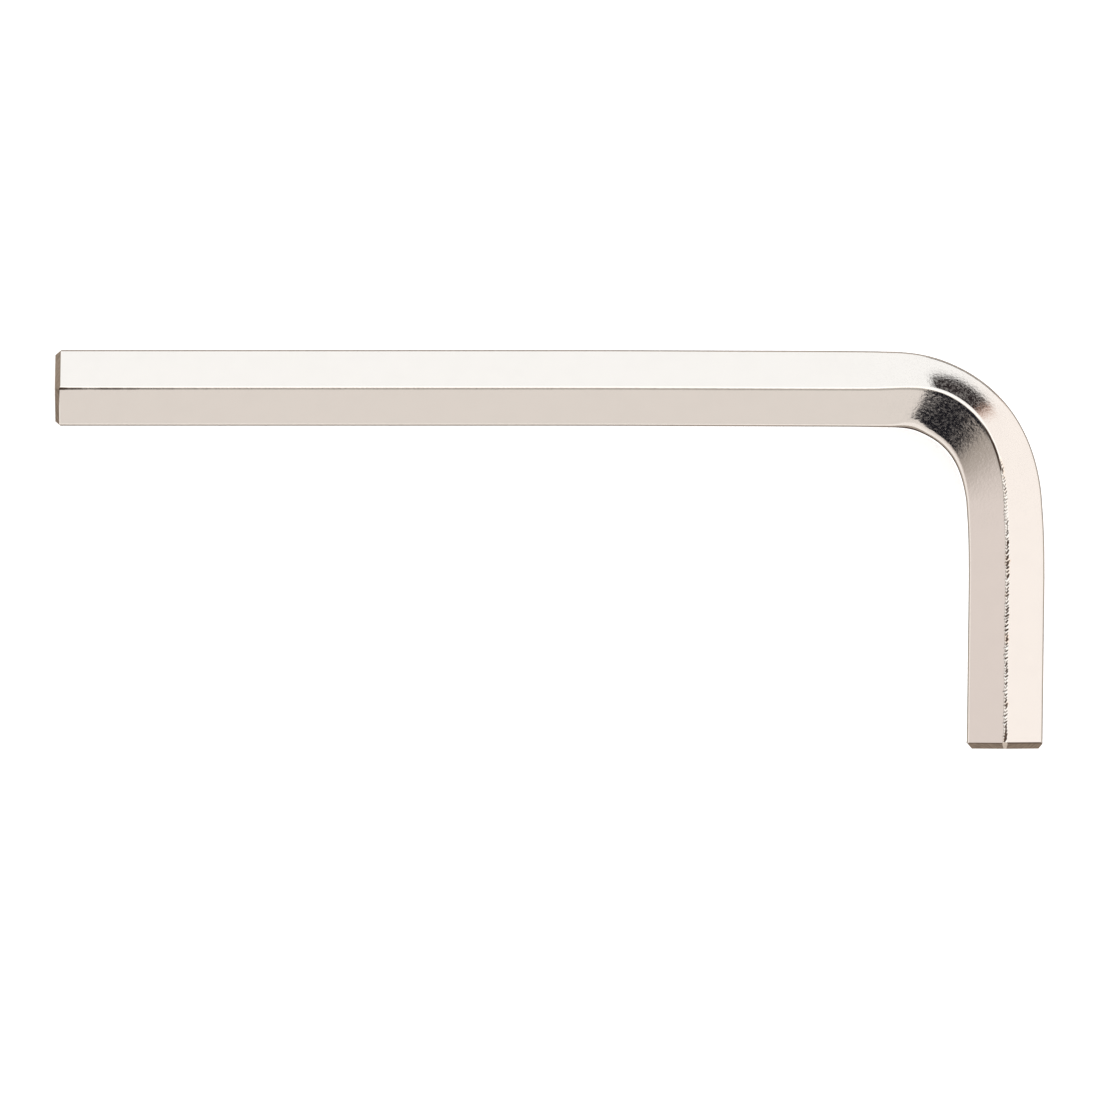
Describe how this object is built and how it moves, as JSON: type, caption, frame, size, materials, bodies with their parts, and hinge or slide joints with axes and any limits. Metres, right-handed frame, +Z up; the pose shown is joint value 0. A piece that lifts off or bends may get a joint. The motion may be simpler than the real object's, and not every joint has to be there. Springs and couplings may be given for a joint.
{
  "type": "hex key",
  "caption": "L-shaped hexagon key of nickel-plated steel, with a long and a short arm, a rounded right-angle bend and bevelled tips.",
  "frame": {"origin": "under the middle of the outline, on the surface that the key lies on", "axes": "+X along the long arm, from its tip towards the bend; +Y from the short arm's tip towards the long arm; +Z up, square to the plane of the bend"},
  "size_m": [0.104, 0.042, 0.0091],
  "materials": {
    "plated_steel": "satin nickel plate, bright on the flats and a little darker along the edges"
  },
  "bodies": {
    "root": {"hex_key": "plated_steel"}
  },
  "joints": []
}
